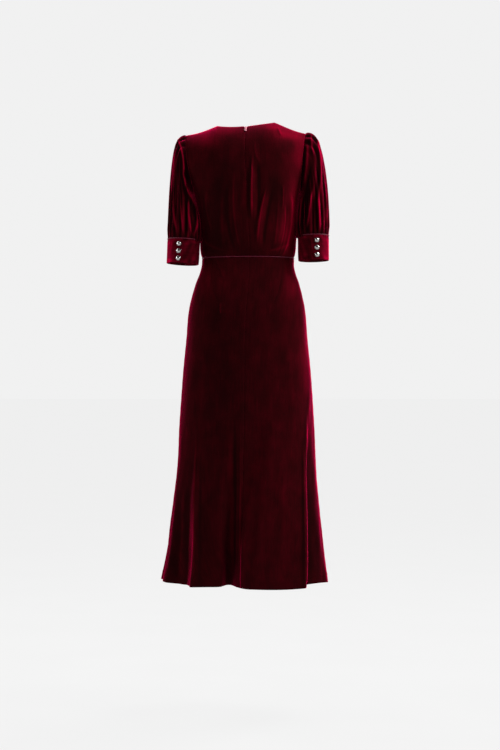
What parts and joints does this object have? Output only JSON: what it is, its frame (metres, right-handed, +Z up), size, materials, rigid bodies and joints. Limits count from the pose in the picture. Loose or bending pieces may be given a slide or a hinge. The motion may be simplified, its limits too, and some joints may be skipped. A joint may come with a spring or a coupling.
{
  "type": "midi dress",
  "caption": "Back-zipped velvet midi dress held as worn, with a waist seam, gathered elbow-length sleeves, buttoned cuffs and a flared hem.",
  "frame": {"origin": "midway between the two points where the shoulder seams meet the neck edge", "axes": "+Z up from hem to neck, -Y towards the front of the dress, +X towards the wearer's left"},
  "size_m": [0.4652, 0.3626, 1.2599],
  "materials": {
    "velvet": "velvet pile, dark when faced and bright where it turns away",
    "piping": "satin cord",
    "button_metal": "polished dome",
    "zip_tape": "matte woven tape",
    "zip_metal": "dyed metal, satin"
  },
  "bodies": {
    "dress": {"bodice_back_left": "velvet", "bodice_back_right": "velvet", "bodice_front": "velvet", "skirt_back_left": "velvet", "skirt_back_right": "velvet", "skirt_front": "velvet", "waist_piping_back_left": "piping", "waist_piping_back_right": "piping", "waist_piping_front": "piping", "sleeve_left": "velvet", "cuff_left": "velvet", "cuff_piping_left": "piping", "button_left_1": "button_metal", "button_left_2": "button_metal", "button_left_3": "button_metal", "sleeve_right": "velvet", "cuff_right": "velvet", "cuff_piping_right": "piping", "button_right_1": "button_metal", "button_right_2": "button_metal", "button_right_3": "button_metal", "zip_tape": "zip_tape", "zip_slider": "zip_metal"},
    "pull_tab": {"zip_pull_tab": "zip_metal"}
  },
  "joints": [
    {"name": "pull_tab_swing", "type": "hinge", "parent": "dress", "child": "pull_tab", "pos_m": [0.00399, 0.04485, -0.01344], "axis": [1, 0, 0], "range_deg": [0, 150]}
  ]
}
